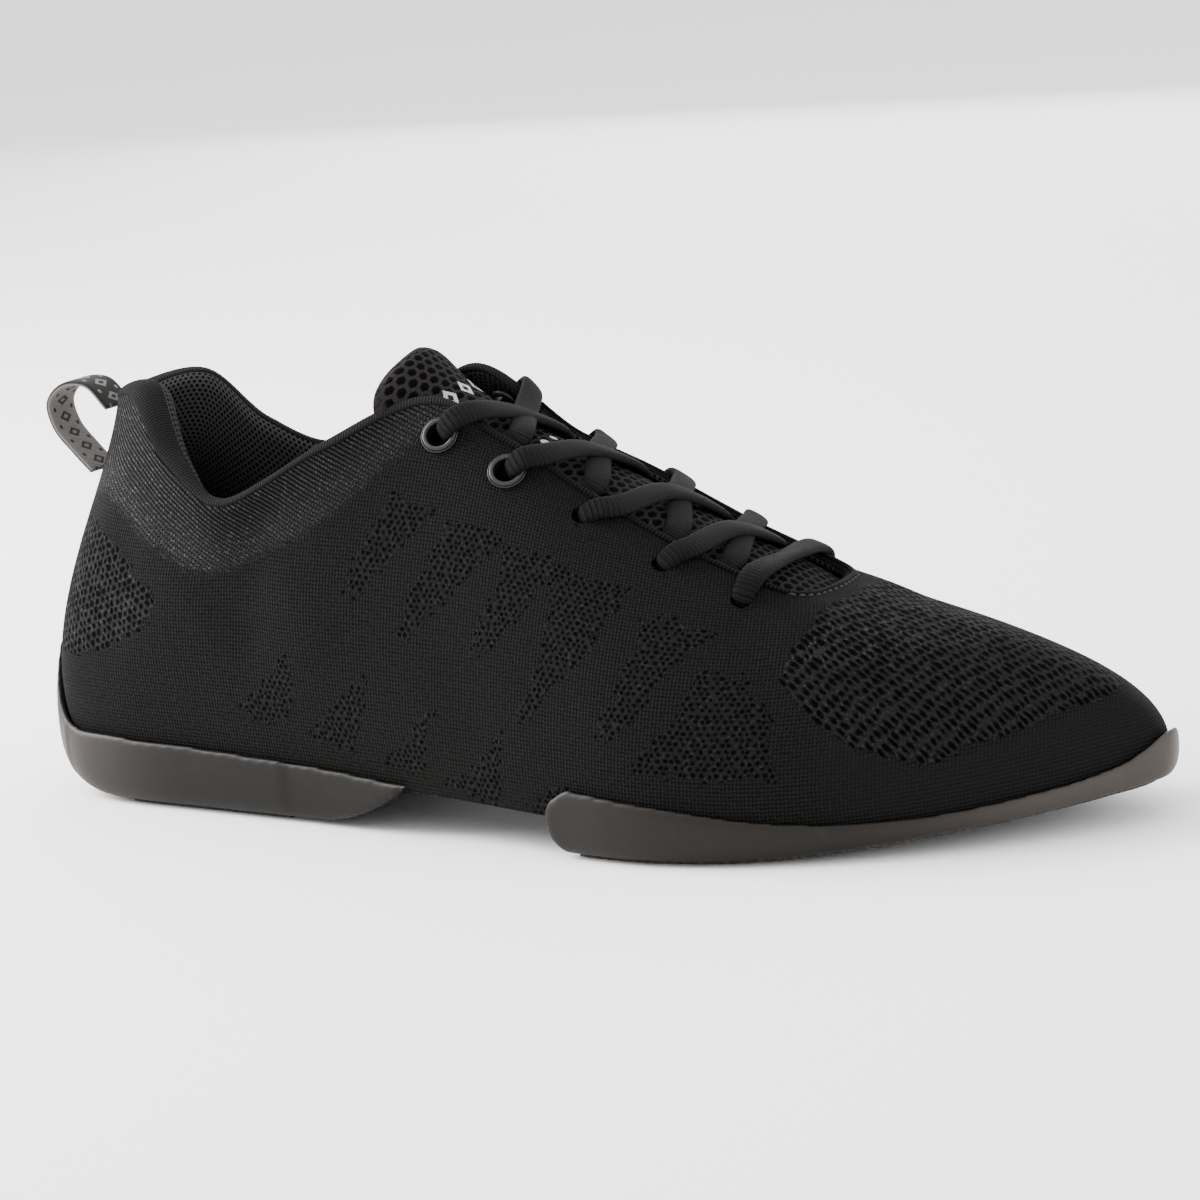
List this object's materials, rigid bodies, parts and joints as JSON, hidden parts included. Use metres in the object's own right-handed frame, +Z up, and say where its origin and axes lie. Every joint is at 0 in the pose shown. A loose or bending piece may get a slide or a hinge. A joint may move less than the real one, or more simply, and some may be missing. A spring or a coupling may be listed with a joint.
{
  "type": "dance sneaker",
  "caption": "Low knit dance sneaker with a split sole: heel unit, forefoot unit, open arch, mesh tongue, criss-cross flat laces and a pull loop at the back of the collar.",
  "frame": {"origin": "middle of the shoe's box, on the floor", "axes": "+X from heel to toe, +Y from the outer side of the foot to the inner side, +Z up"},
  "size_m": [0.2818, 0.0972, 0.1078],
  "materials": {
    "upper_knit": "matte knit",
    "moulded_sole": "satin",
    "tread": "matte",
    "insole_foam": "matte",
    "tongue_mesh": "matte mesh",
    "lace": "matte",
    "eyelet_metal": "dark satin",
    "loop_tape": "matte woven"
  },
  "bodies": {
    "root": {"upper": "upper_knit", "sole_heel": "moulded_sole", "sole_forefoot": "moulded_sole", "tread_heel": "tread", "tread_forefoot": "tread", "insole": "insole_foam", "tongue": "tongue_mesh", "lace_bar": "lace", "lace_cross_1": "lace", "lace_cross_2": "lace", "lace_cross_3": "lace", "lace_cross_4": "lace", "eyelet_lateral_4": "eyelet_metal", "eyelet_lateral_5": "eyelet_metal", "eyelet_medial_4": "eyelet_metal", "eyelet_medial_5": "eyelet_metal", "pull_loop": "loop_tape"}
  },
  "joints": []
}
